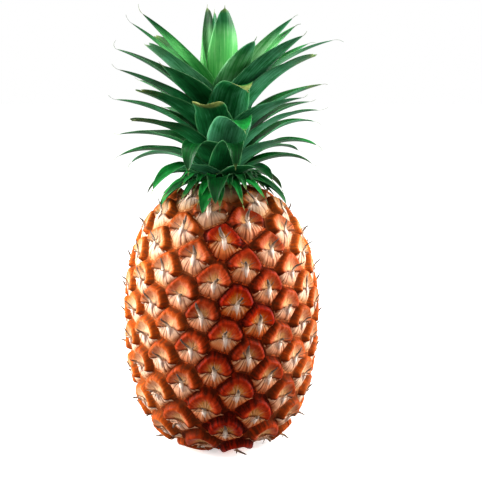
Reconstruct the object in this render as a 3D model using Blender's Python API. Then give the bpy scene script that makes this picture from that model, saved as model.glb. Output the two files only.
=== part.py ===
"""A whole ripe pineapple standing on its base: one grown fruit with its eyes, the short stem of the
crown, and the crown's leaves.  Metres, +Z up.  The origin is the middle of the flat resting spot.
-Y is the side that faces the viewer and +X is to the right."""

import math

import bmesh
import bpy
import numpy as np
from mathutils import Vector

for old in list(bpy.data.objects):
    bpy.data.objects.remove(old, do_unlink=True)

MM = 0.001
TAU = 2.0 * math.pi

# ---- driving dimensions, millimetres and degrees ------------------------------------------------
FRUIT_RADIUS = 60.0          # widest half-width of the fruit, over the domes of the eyes
WIDEST_HEIGHT = 88.0         # height of the widest ring above the table
LOWER_REACH = 90.5           # the lower half of the barrel would close this far below the widest ring
UPPER_REACH = 75.0           # the upper half closes this far above it
LOWER_SHAPE = (2.6, 3.4)     # fullness of the lower half
UPPER_SHAPE = (1.8, 2.75)    # fullness of the upper half
EYE_ANGLE = 137.45           # turn from one eye to the next, counter-clockwise going up
EYE_PHASE = 273.0            # azimuth of eye 0
EYE_AREA = 351.0             # rind taken by one eye at half height, square millimetres
EYE_MID_HEIGHT = 87.0        # height of eye -50
CREVICE_DEPTH = 4.6          # groove between eyes, below the tops of the domes
REST_RADIUS = 24.0           # radius of the flat spot the fruit stands on
CROWN_SEAT = 15.5            # radius of the bare top under the crown
LEAF_COUNT = 58
LEAF_ANGLE = 137.5           # turn from one leaf to the next
LEAF_PHASE = 67.0            # azimuth of the lowest leaf
STEM_RADIUS = 12.0           # crown stem at its foot
STEM_TIP_RADIUS = 2.2
STEM_HEIGHT = 50.0
GAP = 0.3                    # clearance between separately grown pieces


# ---- materials ----------------------------------------------------------------------------------
def material(name, colour, roughness):
    made = bpy.data.materials.new(name)
    made.use_nodes = True
    shader = made.node_tree.nodes["Principled BSDF"]
    shader.inputs["Base Color"].default_value = (*colour, 1.0)
    shader.inputs["Roughness"].default_value = roughness
    return made


RIND = material("pineapple_rind", (0.45, 0.13, 0.03), 0.45)
LEAF = material("pineapple_leaf", (0.03, 0.19, 0.07), 0.4)
STEM = material("crown_stem_tissue", (0.32, 0.36, 0.16), 0.6)


def add_object(name, points, faces, surface):
    mesh = bpy.data.meshes.new(name)
    mesh.from_pydata([tuple(p) for p in np.asarray(points) * MM], [], faces)
    mesh.materials.append(surface)
    made = bpy.data.objects.new(name, mesh)
    bpy.context.scene.collection.objects.link(made)
    work = bmesh.new()
    work.from_mesh(mesh)
    bmesh.ops.triangulate(work, faces=work.faces[:])
    bmesh.ops.recalc_face_normals(work, faces=work.faces[:])
    work.to_mesh(mesh)
    work.free()
    return made


# ---- fruit: barrel profile ----------------------------------------------------------------------
def barrel_radius(height):
    above = height > WIDEST_HEIGHT
    reach = np.where(above, UPPER_REACH, LOWER_REACH)
    power = np.where(above, UPPER_SHAPE[0], LOWER_SHAPE[0])
    full = np.where(above, UPPER_SHAPE[1], LOWER_SHAPE[1])
    part = np.clip(np.abs(height - WIDEST_HEIGHT) / reach, 0.0, 1.0)
    return FRUIT_RADIUS * (1.0 - part**power) ** (1.0 / full)


# The profile runs from the middle of the base, out over the flat spot, up the side and in to the top.
side_heights = WIDEST_HEIGHT + np.concatenate([
    -WIDEST_HEIGHT * np.cos(np.linspace(0.0, math.pi / 2, 400)),
    UPPER_REACH * np.sin(np.linspace(0.0, math.pi / 2, 400)[1:]),
])
side_radii = barrel_radius(side_heights)
base_radii = np.linspace(0.0, side_radii[0], 60)[:-1]
PROFILE_R = np.concatenate([base_radii, side_radii])
PROFILE_H = np.concatenate([np.zeros(len(base_radii)), side_heights])
step = np.hypot(np.diff(PROFILE_R), np.diff(PROFILE_H))
PROFILE_S = np.concatenate([[0.0], np.cumsum(step)])
PROFILE_AREA = np.concatenate([[0.0], np.cumsum(math.pi * (PROFILE_R[1:] + PROFILE_R[:-1]) * step)])
# Conformal latitude: equal angles on the rind stay equal angles on a ball.
safe_r = np.maximum(PROFILE_R, 0.05)
widest = int(np.argmax(PROFILE_R))
stretch = np.concatenate([[0.0], np.cumsum(2.0 * step / (safe_r[1:] + safe_r[:-1]))])
stretch -= stretch[widest]


def on_rind(station, azimuth, lift):
    """A point at this distance along the profile, raised from the rind along its outward normal."""
    r = np.interp(station, PROFILE_S, PROFILE_R)
    h = np.interp(station, PROFILE_S, PROFILE_H)
    dr = np.interp(station + 1.5, PROFILE_S, PROFILE_R) - np.interp(station - 1.5, PROFILE_S, PROFILE_R)
    dh = np.interp(station + 1.5, PROFILE_S, PROFILE_H) - np.interp(station - 1.5, PROFILE_S, PROFILE_H)
    size = np.hypot(dr, dh) + 1e-9
    r = r + lift * dh / size
    h = h - lift * dr / size
    return np.stack([r * np.cos(azimuth), r * np.sin(azimuth), h], axis=-1)


# ---- fruit: one eye after another up the spiral -------------------------------------------------
mid_area = np.interp(EYE_MID_HEIGHT, PROFILE_H[len(base_radii):], PROFILE_AREA[len(base_radii):])
eye_areas = {-50: mid_area}
area = mid_area
for index in range(-49, 60):
    rank = index + 50
    area += min(EYE_AREA - 0.68 * rank + 0.033 * rank * rank, 470.0)
    eye_areas[index] = area
area = mid_area
for index in range(-51, -160, -1):
    rank = index + 50
    area -= min(EYE_AREA - 0.68 * rank + 0.033 * rank * rank, 470.0)
    eye_areas[index] = area
eyes = [n for n in sorted(eye_areas) if 0.0 < eye_areas[n] < PROFILE_AREA[-1]]
eye_station = np.array([np.interp(eye_areas[n], PROFILE_AREA, PROFILE_S) for n in eyes])
eye_azimuth = np.array([math.radians(EYE_PHASE + EYE_ANGLE * n) for n in eyes])

latitude = 2.0 * np.arctan(np.exp(np.interp(eye_station, PROFILE_S, stretch))) - math.pi / 2
ball = np.stack([
    np.cos(latitude) * np.cos(eye_azimuth),
    np.cos(latitude) * np.sin(eye_azimuth),
    np.sin(latitude),
], axis=-1)

# The hull of the points on the ball is their net of nearest neighbours; its faces give the corners
# where three eyes meet.
net = bmesh.new()
for point in ball:
    net.verts.new(Vector(point))
net.verts.ensure_lookup_table()
net.verts.index_update()
bmesh.ops.convex_hull(net, input=net.verts[:])
bmesh.ops.triangulate(net, faces=net.faces[:])
net.faces.ensure_lookup_table()
net.faces.index_update()
corners = []
for face in net.faces:
    a, b, c = (np.array(v.co) for v in face.verts)
    normal = np.cross(b - a, c - a)
    normal = normal / np.linalg.norm(normal)
    if np.dot(normal, a + b + c) < 0.0:
        normal = -normal
    corners.append(normal)
corners = np.array(corners)
corner_stretch = np.log(np.tan((np.arcsin(np.clip(corners[:, 2], -1.0, 1.0)) + math.pi / 2) / 2.0))
corner_station = np.interp(corner_stretch, stretch, PROFILE_S)
corner_azimuth = np.arctan2(corners[:, 1], corners[:, 0])

points = []
faces = []


def add_points(new):
    first = len(points)
    points.extend(np.atleast_2d(new))
    return list(range(first, len(points)))


rest_station = REST_RADIUS
seat_station = PROFILE_S[-1] - CROWN_SEAT
corner_lift = np.where(
    (corner_station < rest_station) | (corner_station > seat_station), 0.0, -CREVICE_DEPTH)
corner_points = on_rind(corner_station, corner_azimuth, corner_lift)
corner_points[:, 2] = np.maximum(corner_points[:, 2], 0.0)
corner_points[corner_station < rest_station, 2] = 0.0
corner_ids = add_points(corner_points)

for index, vert in enumerate(net.verts):
    around = [face.index for face in vert.link_faces]
    station = eye_station[index]
    azimuth = eye_azimuth[index]
    middle = on_rind(station, azimuth, 0.0)
    out = on_rind(station, azimuth, 1.0) - middle
    side = np.array([-math.sin(azimuth), math.cos(azimuth), 0.0])
    up = np.cross(out, side)
    turn = [math.atan2(np.dot(corner_points[k] - middle, up), np.dot(corner_points[k] - middle, side))
            for k in around]
    around = [k for _, k in sorted(zip(turn, around))]
    ring = [corner_ids[k] for k in around]
    if station < rest_station:
        centre = add_points([middle[0], middle[1], 0.0])[0]
        faces += [(ring[j], ring[(j + 1) % len(ring)], centre) for j in range(len(ring))]
        continue
    if station > seat_station:
        centre = add_points(middle)[0]
        faces += [(ring[j], ring[(j + 1) % len(ring)], centre) for j in range(len(ring))]
        continue
    edge = corner_points[around]
    sunk = -corner_lift[around][:, None]
    previous = ring
    for share, regain in ((0.84, 0.56), (0.52, 0.46)):
        raised = middle + (edge - middle) * share + out * sunk * regain
        raised[:, 2] = np.maximum(raised[:, 2], 0.4)
        fresh = add_points(raised)
        for j in range(len(ring)):
            k = (j + 1) % len(ring)
            faces.append((previous[j], previous[k], fresh[k], fresh[j]))
        previous = fresh
    centre = add_points(middle)[0]
    faces += [(previous[j], previous[(j + 1) % len(ring)], centre) for j in range(len(ring))]
net.free()
add_object("fruit", points, faces, RIND)

# ---- crown stem ---------------------------------------------------------------------------------
TOP = float(PROFILE_H[-1])
STEM_SIDES = 20
STEM_HEIGHTS = (0.0, 4.0, 16.0, 30.0, 42.0, STEM_HEIGHT)
STEM_RADII = (STEM_RADIUS, STEM_RADIUS - 0.6, 9.3, 6.4, 3.9, STEM_TIP_RADIUS)


def stem_radius(height):
    return float(np.interp(height, STEM_HEIGHTS, STEM_RADII))


points = []
faces = []
for height in STEM_HEIGHTS:
    turns = np.arange(STEM_SIDES) * TAU / STEM_SIDES
    r = stem_radius(height)
    add_points(np.stack([r * np.cos(turns), r * np.sin(turns), 0.0 * turns + TOP + GAP + height], axis=-1))
for level in range(len(STEM_HEIGHTS) - 1):
    for j in range(STEM_SIDES):
        k = (j + 1) % STEM_SIDES
        low = level * STEM_SIDES
        faces.append((low + j, low + k, low + STEM_SIDES + k, low + STEM_SIDES + j))
faces.append(tuple(reversed(range(STEM_SIDES))))
faces.append(tuple(range((len(STEM_HEIGHTS) - 1) * STEM_SIDES, len(STEM_HEIGHTS) * STEM_SIDES)))
add_object("crown_stem", points, faces, STEM)

# ---- leaves -------------------------------------------------------------------------------------
# Stations from the lowest leaf (0) to the innermost one (1).  Heights are above the fruit's top.
STATION = (0.0, 0.018, 0.10, 0.19, 0.26, 0.35, 0.475, 0.60, 0.71, 0.805, 0.913, 0.929, 1.0)
ROOT_HEIGHT = (0.6, 1.7, 4.1, 7.0, 9.8, 13.6, 19.5, 26.0, 31.5, 37.0, 42.5, 43.5, 49.0)
ROOT_TILT = (78.0, 76.0, 63.0, 50.0, 42.0, 33.0, 25.0, 19.0, 15.0, 13.0, 13.0, 14.0, 3.0)
TIP_RADIUS = (41.0, 40.0, 48.0, 60.0, 63.0, 64.0, 64.0, 63.0, 61.0, 57.0, 46.0, 9.0, 2.5)
TIP_HEIGHT = (-15.0, -13.0, -6.0, 9.0, 20.0, 35.0, 51.0, 67.0, 80.0, 92.0, 103.0, 105.0, 101.0)
TIP_TILT = (154.0, 154.0, 144.0, 122.0, 108.0, 94.0, 81.0, 71.0, 63.0, 56.0, 47.0, -8.0, -4.0)
HALF_WIDTH = (9.0, 9.0, 9.5, 11.0, 12.0, 13.0, 13.5, 14.0, 13.5, 12.5, 11.5, 10.5, 5.0)
LEAF_THICKNESS = 0.85
LEAF_EDGE = 0.35
LEAF_ROWS = 11

# Leaves that grew a little apart from the rule: turn, tip radius, tip height, tip tilt, width share.
LEAF_OWN = {
    1: (189.0, 0.0, 2.0, 0.0, 0.8),
    5: (10.0, 3.0, 5.0, 4.0, 0.88),
    8: (-6.0, 3.0, 9.0, -6.0, 0.95),
    11: (0.0, -2.0, 5.0, 0.0, 1.0),
    12: (12.0, 7.0, 0.0, 0.0, 1.0),
    13: (3.0, 0.0, 12.0, 10.0, 0.9),
    14: (-18.0, 0.0, 2.0, 0.0, 1.0),
    16: (2.0, 1.0, 5.0, 0.0, 1.0),
    18: (7.0, 0.0, -3.0, 14.0, 0.9),
    19: (0.0, 0.0, 7.0, 0.0, 1.0),
    20: (0.0, 6.0, -4.0, 0.0, 1.0),
    21: (-14.0, 0.0, 9.0, 8.0, 1.0),
    24: (0.0, -4.0, 3.0, 0.0, 1.0),
    26: (-4.0, -8.0, 10.0, -4.0, 1.0),
    27: (-14.0, 0.0, 0.0, 0.0, 1.0),
    31: (-10.0, 2.0, 0.0, 0.0, 1.0),
    34: (0.0, -2.0, 3.0, 16.0, 1.0),
    37: (0.0, 3.0, 7.0, 8.0, 1.0),
    39: (-12.0, 0.0, -4.0, 0.0, 1.0),
    40: (0.0, 2.0, 8.0, 0.0, 1.0),
    41: (0.0, 5.0, 2.0, 6.0, 1.0),
    42: (14.0, 2.0, 6.0, 0.0, 1.0),
    45: (0.0, 9.0, -2.0, 16.0, 1.0),
    46: (12.0, 0.0, 2.0, 8.0, 1.0),
    47: (20.0, -4.0, -8.0, 8.0, 1.0),
    48: (-12.0, 4.0, 2.0, 0.0, 1.0),
    52: (-28.0, 4.0, -1.0, 0.0, 1.0),
    53: (0.0, 2.0, -8.0, 6.0, 1.0),
}


def leaf_frame(number):
    """Root, two handles and tip of the leaf's middle line (radius, height), its azimuth and half-width."""
    place = number / (LEAF_COUNT - 1.0)

    def at(values):
        return float(np.interp(place, STATION, values))

    own = LEAF_OWN.get(number + 1, (0.0, 0.0, 0.0, 0.0, 1.0))
    root_height = at(ROOT_HEIGHT)
    root_tilt = math.radians(at(ROOT_TILT))
    tip_tilt = math.radians(at(TIP_TILT) + own[3])
    root = np.array([stem_radius(root_height - GAP) + GAP + 0.5 * LEAF_THICKNESS, root_height])
    tip = np.array([at(TIP_RADIUS) + own[1], at(TIP_HEIGHT) + own[2]])
    chord = float(np.linalg.norm(tip - root))
    first = root + 0.32 * chord * np.array([math.sin(root_tilt), math.cos(root_tilt)])
    second = tip - 0.36 * chord * np.array([math.sin(tip_tilt), math.cos(tip_tilt)])
    azimuth = math.radians(LEAF_PHASE + LEAF_ANGLE * number + own[0])
    return root, first, second, tip, azimuth, at(HALF_WIDTH) * own[4]


def add_leaf(number):
    root, first, second, tip, azimuth, half_width = leaf_frame(number)
    points.clear()
    faces.clear()
    outward = np.array([math.cos(azimuth), math.sin(azimuth), 0.0])
    side = np.array([-math.sin(azimuth), math.cos(azimuth), 0.0])
    rise = np.array([0.0, 0.0, 1.0])
    rows = []
    for t in np.linspace(0.0, 1.0, LEAF_ROWS + 1)[:-1]:
        middle = ((1 - t)**3 * root + 3 * (1 - t)**2 * t * first
                  + 3 * (1 - t) * t * t * second + t**3 * tip)
        along = (3 * (1 - t)**2 * (first - root) + 6 * (1 - t) * t * (second - first)
                 + 3 * t * t * (tip - second))
        along = along / np.linalg.norm(along)
        centre = middle[0] * outward + (middle[1] + TOP) * rise
        inner = -along[1] * outward + along[0] * rise
        opening = min(t / 0.35, 1.0)
        opening = opening * opening * (3.0 - 2.0 * opening)
        root_width = min(half_width, 0.9 * root[0])
        width = root_width + (half_width - root_width) * opening
        width = width * (1.0 - t)**0.85 * (1.0 + 0.6 * t)
        # The leaf wraps the stem while it is upright and opens to a shallow channel as it leans out.
        upright = max(float(along[1]), 0.0)
        bend = ((0.62 / width)**4 + (upright / middle[0])**4)**-0.25
        width = min(width, 1.1 * bend)
        wrap = width / bend
        thick = LEAF_THICKNESS * (1.0 - 0.45 * t)
        edge = LEAF_EDGE * (1.0 - 0.3 * t)
        ring = []
        for across, skin in ((-1.0, 0), (-0.55, -1), (0.0, -1), (0.55, -1), (1.0, 0), (0.55, 1), (0.0, 1), (-0.55, 1)):
            turn = across * wrap
            depth = 0.5 * (edge + (thick - edge) * (1.0 - across * across)) * skin
            ring.append(centre + side * (bend - depth) * math.sin(turn)
                        + inner * (bend - (bend - depth) * math.cos(turn)))
        rows.append(add_points(np.array(ring)))
    for lower, upper in zip(rows[:-1], rows[1:]):
        for j in range(8):
            k = (j + 1) % 8
            faces.append((lower[j], lower[k], upper[k], upper[j]))
    faces.append(tuple(reversed(rows[0])))
    point = add_points(tip[0] * outward + (tip[1] + TOP) * rise)[0]
    for j in range(8):
        faces.append((rows[-1][j], rows[-1][(j + 1) % 8], point))
    add_object("leaf_%02d" % (number + 1), points, faces, LEAF)


for number in range(LEAF_COUNT):
    add_leaf(number)
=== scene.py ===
"""A ripe pineapple standing on a pale table: the eyed fruit, the bracts on its eyes, the crown's
stem and the leaves of the crown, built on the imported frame."""

import math

import bmesh
import bpy
import numpy as np
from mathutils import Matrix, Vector


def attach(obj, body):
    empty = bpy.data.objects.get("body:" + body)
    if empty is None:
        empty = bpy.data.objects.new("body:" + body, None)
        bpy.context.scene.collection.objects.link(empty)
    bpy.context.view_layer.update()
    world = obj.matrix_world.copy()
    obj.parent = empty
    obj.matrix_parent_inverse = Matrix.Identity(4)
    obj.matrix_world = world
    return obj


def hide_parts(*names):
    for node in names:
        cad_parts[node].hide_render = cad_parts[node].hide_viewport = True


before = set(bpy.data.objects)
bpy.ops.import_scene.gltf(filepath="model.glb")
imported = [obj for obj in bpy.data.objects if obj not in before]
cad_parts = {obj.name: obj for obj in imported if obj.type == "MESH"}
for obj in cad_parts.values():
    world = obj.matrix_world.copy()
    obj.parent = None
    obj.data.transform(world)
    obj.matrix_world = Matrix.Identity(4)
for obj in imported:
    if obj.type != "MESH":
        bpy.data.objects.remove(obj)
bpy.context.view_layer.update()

# ---- Camera ---------------------------------------------------------------------------------------
# A long lens on a tripod in front of the table, a little above the fruit's shoulder and tipped down
# about eleven degrees, so the top rows of eyes are seen from slightly above.
tripod = bpy.data.cameras.new("product_camera")
tripod.sensor_width = 36.0
tripod.lens = 68.1
camera = bpy.data.objects.new("product_camera", tripod)
camera.location = (0.0122, -0.579, 0.231)
camera.rotation_euler = (math.radians(90.0 - 10.74), 0.0, 0.0)
bpy.context.scene.collection.objects.link(camera)
bpy.context.scene.camera = camera

# ---- Fruit rind -----------------------------------------------------------------------------------
# Some hundred and fifty flowers fused into one fruit. Each left a six-sided eye: a domed, waxy cap
# whose rim rolls over into a deep crevice, above the sunken skin that the eye's bract lies on.
MM = 0.001
FRUIT_RADIUS = 60.0
WIDEST_HEIGHT = 88.0
LOWER_REACH, LOWER_SHAPE = 90.5, (2.6, 3.4)     # how far the barrel's curve runs, and its two powers
UPPER_REACH, UPPER_SHAPE = 75.0, (1.8, 2.75)
SIDE_POINTS, FLAT_POINTS = 400, 60
EYE_ANGLE = 137.45      # degrees from each eye on the spiral to the next
EYE_PHASE = 273.0
EYE_AREA = 351.0        # square millimetres of rind for the eye at mid-height
AREA_TREND = (-0.68, 0.033)     # how that changes with an eye's rank above it, and with the rank squared
AREA_LIMIT = 470.0
EYE_MID_HEIGHT = 87.0
MIDDLE_EYE = -50        # number on the spiral of the eye at mid-height
EYE_STEPS = 110         # more than there are eyes above or below it
CREVICE_DEPTH = 2.6
REST_RADIUS = 24.0      # of the flat spot that the fruit rests on
CROWN_SEAT = 15.5       # how much of the profile's end the crown covers
CAP_REACH = 11.4        # how far a cap's round rim gets from the eye's middle
CREST_RISE, CREST_PLACE = 1.1, 0.78     # the rim's crest, as a share of the way to the crevice
BASIN_DEPTH, BASIN_PLACE = 2.2, 0.72    # the sunken middle, up to this share of the way
ROLL_START, ROLL_LENGTH = 0.70, 0.30    # the share of the way over which the rim rolls down
SKIN_DEPTH = 1.6        # how far the skin under a bract lies below the caps
FOLD_HEIGHT = -2.3      # where the cap folds over the skin, below the eye's middle
FOLD_ARCH = 0.014       # how strongly the fold curves down at its sides
RIM_STEP = 1.5          # spacing of the points round an eye
CAP_RINGS = (0.09, 0.2, 0.32, 0.44, 0.55, 0.65, 0.73, 0.8, 0.86, 0.91, 0.95, 0.98)


def ease(value):
    """A smooth step from 0 to 1, level at both ends."""
    value = np.clip(value, 0.0, 1.0)
    return value * value * (3.0 - 2.0 * value)


def barrel_radius(height):
    """The fruit's radius at a height, fuller below its widest place than above."""
    above = height > WIDEST_HEIGHT
    reach = np.where(above, UPPER_REACH, LOWER_REACH)
    power = np.where(above, UPPER_SHAPE[0], LOWER_SHAPE[0])
    full = np.where(above, UPPER_SHAPE[1], LOWER_SHAPE[1])
    part = np.clip(np.abs(height - WIDEST_HEIGHT) / reach, 0.0, 1.0)
    return FRUIT_RADIUS * (1.0 - part**power) ** (1.0 / full)


side_height = WIDEST_HEIGHT + np.concatenate([
    -WIDEST_HEIGHT * np.cos(np.linspace(0.0, math.pi / 2, SIDE_POINTS)),
    UPPER_REACH * np.sin(np.linspace(0.0, math.pi / 2, SIDE_POINTS)[1:]),
])
side_radius = barrel_radius(side_height)
flat_radius = np.linspace(0.0, side_radius[0], FLAT_POINTS)[:-1]
barrel_r = np.concatenate([flat_radius, side_radius])
barrel_h = np.concatenate([np.zeros(len(flat_radius)), side_height])
leg = np.hypot(np.diff(barrel_r), np.diff(barrel_h))
barrel_s = np.concatenate([[0.0], np.cumsum(leg)])
barrel_area = np.concatenate([[0.0], np.cumsum(math.pi * (barrel_r[1:] + barrel_r[:-1]) * leg)])
safe_r = np.maximum(barrel_r, 0.05)
stretch = np.concatenate([[0.0], np.cumsum(2.0 * leg / (safe_r[1:] + safe_r[:-1]))])
stretch -= stretch[int(np.argmax(barrel_r))]
seat_station = barrel_s[-1] - CROWN_SEAT


def on_rind(station, azimuth, lift):
    """A point this far along the barrel's profile, raised along the rind's outward normal."""
    r = np.interp(station, barrel_s, barrel_r)
    h = np.interp(station, barrel_s, barrel_h)
    dr = np.interp(station + 1.5, barrel_s, barrel_r) - np.interp(station - 1.5, barrel_s, barrel_r)
    dh = np.interp(station + 1.5, barrel_s, barrel_h) - np.interp(station - 1.5, barrel_s, barrel_h)
    size = np.hypot(dr, dh) + 1e-9
    r = r + lift * dh / size
    h = np.maximum(h - lift * dr / size, 0.0)
    return np.stack([r * np.cos(azimuth), r * np.sin(azimuth), h], axis=-1)


def eye_areas():
    """Rind area below each eye, one more eye's worth at each step of the spiral."""
    middle = np.interp(EYE_MID_HEIGHT, side_height, barrel_area[len(flat_radius):])
    found = {MIDDLE_EYE: middle}
    for way in (1, -1):
        area = middle
        for step in range(1, EYE_STEPS):
            rank = way * step
            area += way * min(EYE_AREA + AREA_TREND[0] * rank + AREA_TREND[1] * rank * rank, AREA_LIMIT)
            found[rank + MIDDLE_EYE] = area
    return {number: area for number, area in found.items() if 0.0 < area < barrel_area[-1]}


areas = eye_areas()
eye_numbers = sorted(areas)
eye_station = np.array([np.interp(areas[number], barrel_area, barrel_s) for number in eye_numbers])
eye_azimuth = np.radians([EYE_PHASE + EYE_ANGLE * number for number in eye_numbers])
EYES = range(len(eye_numbers))

# The net of nearest neighbours is a hull on a ball, and its faces are the corners between eyes.
latitude = 2.0 * np.arctan(np.exp(np.interp(eye_station, barrel_s, stretch))) - math.pi / 2
net = bmesh.new()
for lat, azimuth in zip(latitude, eye_azimuth):
    net.verts.new((math.cos(lat) * math.cos(azimuth), math.cos(lat) * math.sin(azimuth), math.sin(lat)))
net.verts.ensure_lookup_table()
bmesh.ops.convex_hull(net, input=net.verts[:])
bmesh.ops.triangulate(net, faces=net.faces[:])
net.verts.index_update()
net.faces.index_update()
corner_way = []
for face in net.faces:
    a, b, c = (np.array(vert.co) for vert in face.verts)
    way = np.cross(b - a, c - a)
    way = way / np.linalg.norm(way)
    corner_way.append(way if np.dot(way, a + b + c) > 0.0 else -way)
corner_way = np.array(corner_way)
corner_up = np.arcsin(np.clip(corner_way[:, 2], -1.0, 1.0))
corner_station = np.interp(np.log(np.tan((corner_up + math.pi / 2) / 2.0)), stretch, barrel_s)
corner_azimuth = np.arctan2(corner_way[:, 1], corner_way[:, 0])
eye_corners = [[face.index for face in vert.link_faces] for vert in net.verts]
net.free()


def seen_from(eye, spots):
    """Places right of and above an eye's middle, in millimetres, of points in space."""
    azimuth = eye_azimuth[eye]
    middle = on_rind(eye_station[eye], azimuth, 0.0)
    out = on_rind(eye_station[eye], azimuth, 1.0) - middle
    side = np.array([-math.sin(azimuth), math.cos(azimuth), 0.0])
    return (spots - middle) @ side, (spots - middle) @ np.cross(out, side)


def crevice_lift(station):
    """The crevices' floor, which rises to the skin at the flat spot and at the crown."""
    return -CREVICE_DEPTH * ease((station - REST_RADIUS) / 5.0) * ease((seat_station - station) / 6.0)


def rim_between(first, second):
    """Stations and azimuths of the crevice from one corner to the next, the same for both eyes on it."""
    low, high = min(first, second), max(first, second)
    turn = (corner_azimuth[high] - corner_azimuth[low] + math.pi) % (2.0 * math.pi) - math.pi
    ends = on_rind(corner_station[[low, high]], corner_azimuth[[low, high]], 0.0)
    count = max(2, int(round(np.linalg.norm(ends[1] - ends[0]) / RIM_STEP)))
    share = np.arange(count + 1) / count
    station = corner_station[low] + (corner_station[high] - corner_station[low]) * share
    azimuth = corner_azimuth[low] + turn * share
    if first > second:
        station, azimuth = station[::-1], azimuth[::-1]
    return station[:-1], azimuth[:-1]


def eye_outline(eye):
    """The crevice round one eye, counter-clockwise from outside, and how far the eye tilts sideways."""
    corners = np.array(eye_corners[eye])
    x, y = seen_from(eye, on_rind(corner_station[corners], corner_azimuth[corners], 0.0))
    ring = corners[np.argsort(np.arctan2(y, x))]
    rims = [rim_between(ring[j], ring[(j + 1) % len(ring)]) for j in range(len(ring))]
    station = np.concatenate([rim[0] for rim in rims])
    azimuth = np.concatenate([rim[1] for rim in rims])
    rim_x, rim_y = seen_from(eye, on_rind(station, azimuth, 0.0))
    left, right = np.argmin(x), np.argmax(x)
    tilt = np.clip((y[right] - y[left]) / (x[right] - x[left]), -0.24, 0.24)
    return station, azimuth, rim_x, rim_y, tilt


outlines = [eye_outline(eye) for eye in EYES]
has_cap = [REST_RADIUS < eye_station[eye] < seat_station for eye in EYES]
chance = np.random.default_rng(7)
eye_tone = chance.random(len(eye_numbers))
eye_swell = chance.uniform(0.8, 1.2, len(eye_numbers))
eye_lean = chance.normal(0.0, 0.02, (len(eye_numbers), 2))
# The eyes are deep red round the front and golden towards the sides and back: partly the fruit's
# own uneven ripening and partly painted light, the sides drawn paler where strong side light falls.
REDDEST_SIDE = math.radians(280.0)
RED_SPREAD = math.radians(49.0)
from_reddest = (eye_azimuth - REDDEST_SIDE + math.pi) % (2.0 * math.pi) - math.pi
spread = RED_SPREAD * (1.35 - 0.4 * eye_station / seat_station)
eye_blush = np.exp(-((from_reddest / spread) ** 2)) * ease((seat_station + 6.0 - eye_station) / 45.0)
eye_blush = np.clip(eye_blush + chance.normal(0.0, 0.05, len(eye_numbers)), 0.0, 1.0)


def eye_relief(eye, x, y, rim):
    """Lift of the rind over an eye, with how near the crevice it is and whether it is cap or skin."""
    station = eye_station[eye] + y
    grown = ease((station - REST_RADIUS) / 12.0) * ease((seat_station + 2.0 - station) / 12.0)
    round_rim = np.hypot(x, y) / CAP_REACH
    near = np.minimum((rim**6 + round_rim**6) ** (1.0 / 6.0), 1.0)
    fold = FOLD_HEIGHT + outlines[eye][4] * x - FOLD_ARCH * x * x
    cap = ease((y - fold + 0.6) / 1.3)
    roll = 1.0 - (1.0 - np.clip((near - ROLL_START) / ROLL_LENGTH, 0.0, 1.0) ** 3.4) ** (1.0 / 2.2)
    dome = CREST_RISE * np.exp(-(((near - CREST_PLACE) / 0.2) ** 2))
    dome = dome - BASIN_DEPTH * ease((BASIN_PLACE - near) / 0.6)
    dome = dome * eye_swell[eye] + eye_lean[eye, 0] * x + eye_lean[eye, 1] * y
    floor = crevice_lift(eye_station[eye] + y)
    cap_lift = dome * grown * (1.0 - roll) + floor * roll
    skin_lift = -SKIN_DEPTH * grown * (1.0 - near**10) + floor * near**10
    return skin_lift + (cap_lift - skin_lift) * cap, near, cap, y - fold


rind_points, rind_faces = [], []
rind_layers = {"eye_place": [], "eye_rim": [], "eye_cap": [], "eye_tone": [], "eye_blush": []}


def add_ring(eye, spots, x, y, rim, cap, above):
    """Puts points and their layers on the rind's lists, and gives the number of the first."""
    first = len(rind_points)
    rind_points.extend(spots)
    rind_layers["eye_rim"].extend(rim)
    rind_layers["eye_cap"].extend(cap)
    rind_layers["eye_place"].extend(np.stack([x, y, above], axis=-1))
    rind_layers["eye_tone"].extend(np.full(len(rim), eye_tone[eye]))
    rind_layers["eye_blush"].extend(np.full(len(rim), eye_blush[eye]))
    return first


def fan_faces(middle, outer, count):
    """Faces from one point to the ring of points round it."""
    return [(middle, outer + k, outer + (k + 1) % count) for k in range(count)]


def band_faces(inner, outer, count):
    """Faces from a ring of points to the ring round it."""
    return [(inner + k, outer + k, outer + (k + 1) % count, inner + (k + 1) % count) for k in range(count)]


for eye in EYES:
    rim_station, rim_azimuth, rim_x, rim_y, _ = outlines[eye]
    count = len(rim_station)
    station, azimuth = eye_station[eye], eye_azimuth[eye]
    turn = (rim_azimuth - azimuth + math.pi) % (2.0 * math.pi) - math.pi
    zero = np.zeros(1)
    lift, *looks = eye_relief(eye, zero, zero, zero) if has_cap[eye] else (zero, zero, zero, zero)
    inner = add_ring(eye, on_rind(np.array([station]), azimuth, lift), zero, zero, *looks)
    join = fan_faces
    for share in CAP_RINGS if has_cap[eye] else ():
        x, y = rim_x * share, rim_y * share
        lift, *looks = eye_relief(eye, x, y, np.full(count, share))
        spots = on_rind(station + (rim_station - station) * share, azimuth + turn * share, lift)
        outer = add_ring(eye, spots, x, y, *looks)
        rind_faces += join(inner, outer, count)
        inner, join = outer, band_faces
    spots = on_rind(rim_station, rim_azimuth, crevice_lift(rim_station))
    ones = np.ones(count)
    outer = add_ring(eye, spots, rim_x, rim_y, ones, 0.5 * ones, 9.0 * ones)
    rind_faces += join(inner, outer, count)


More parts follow.
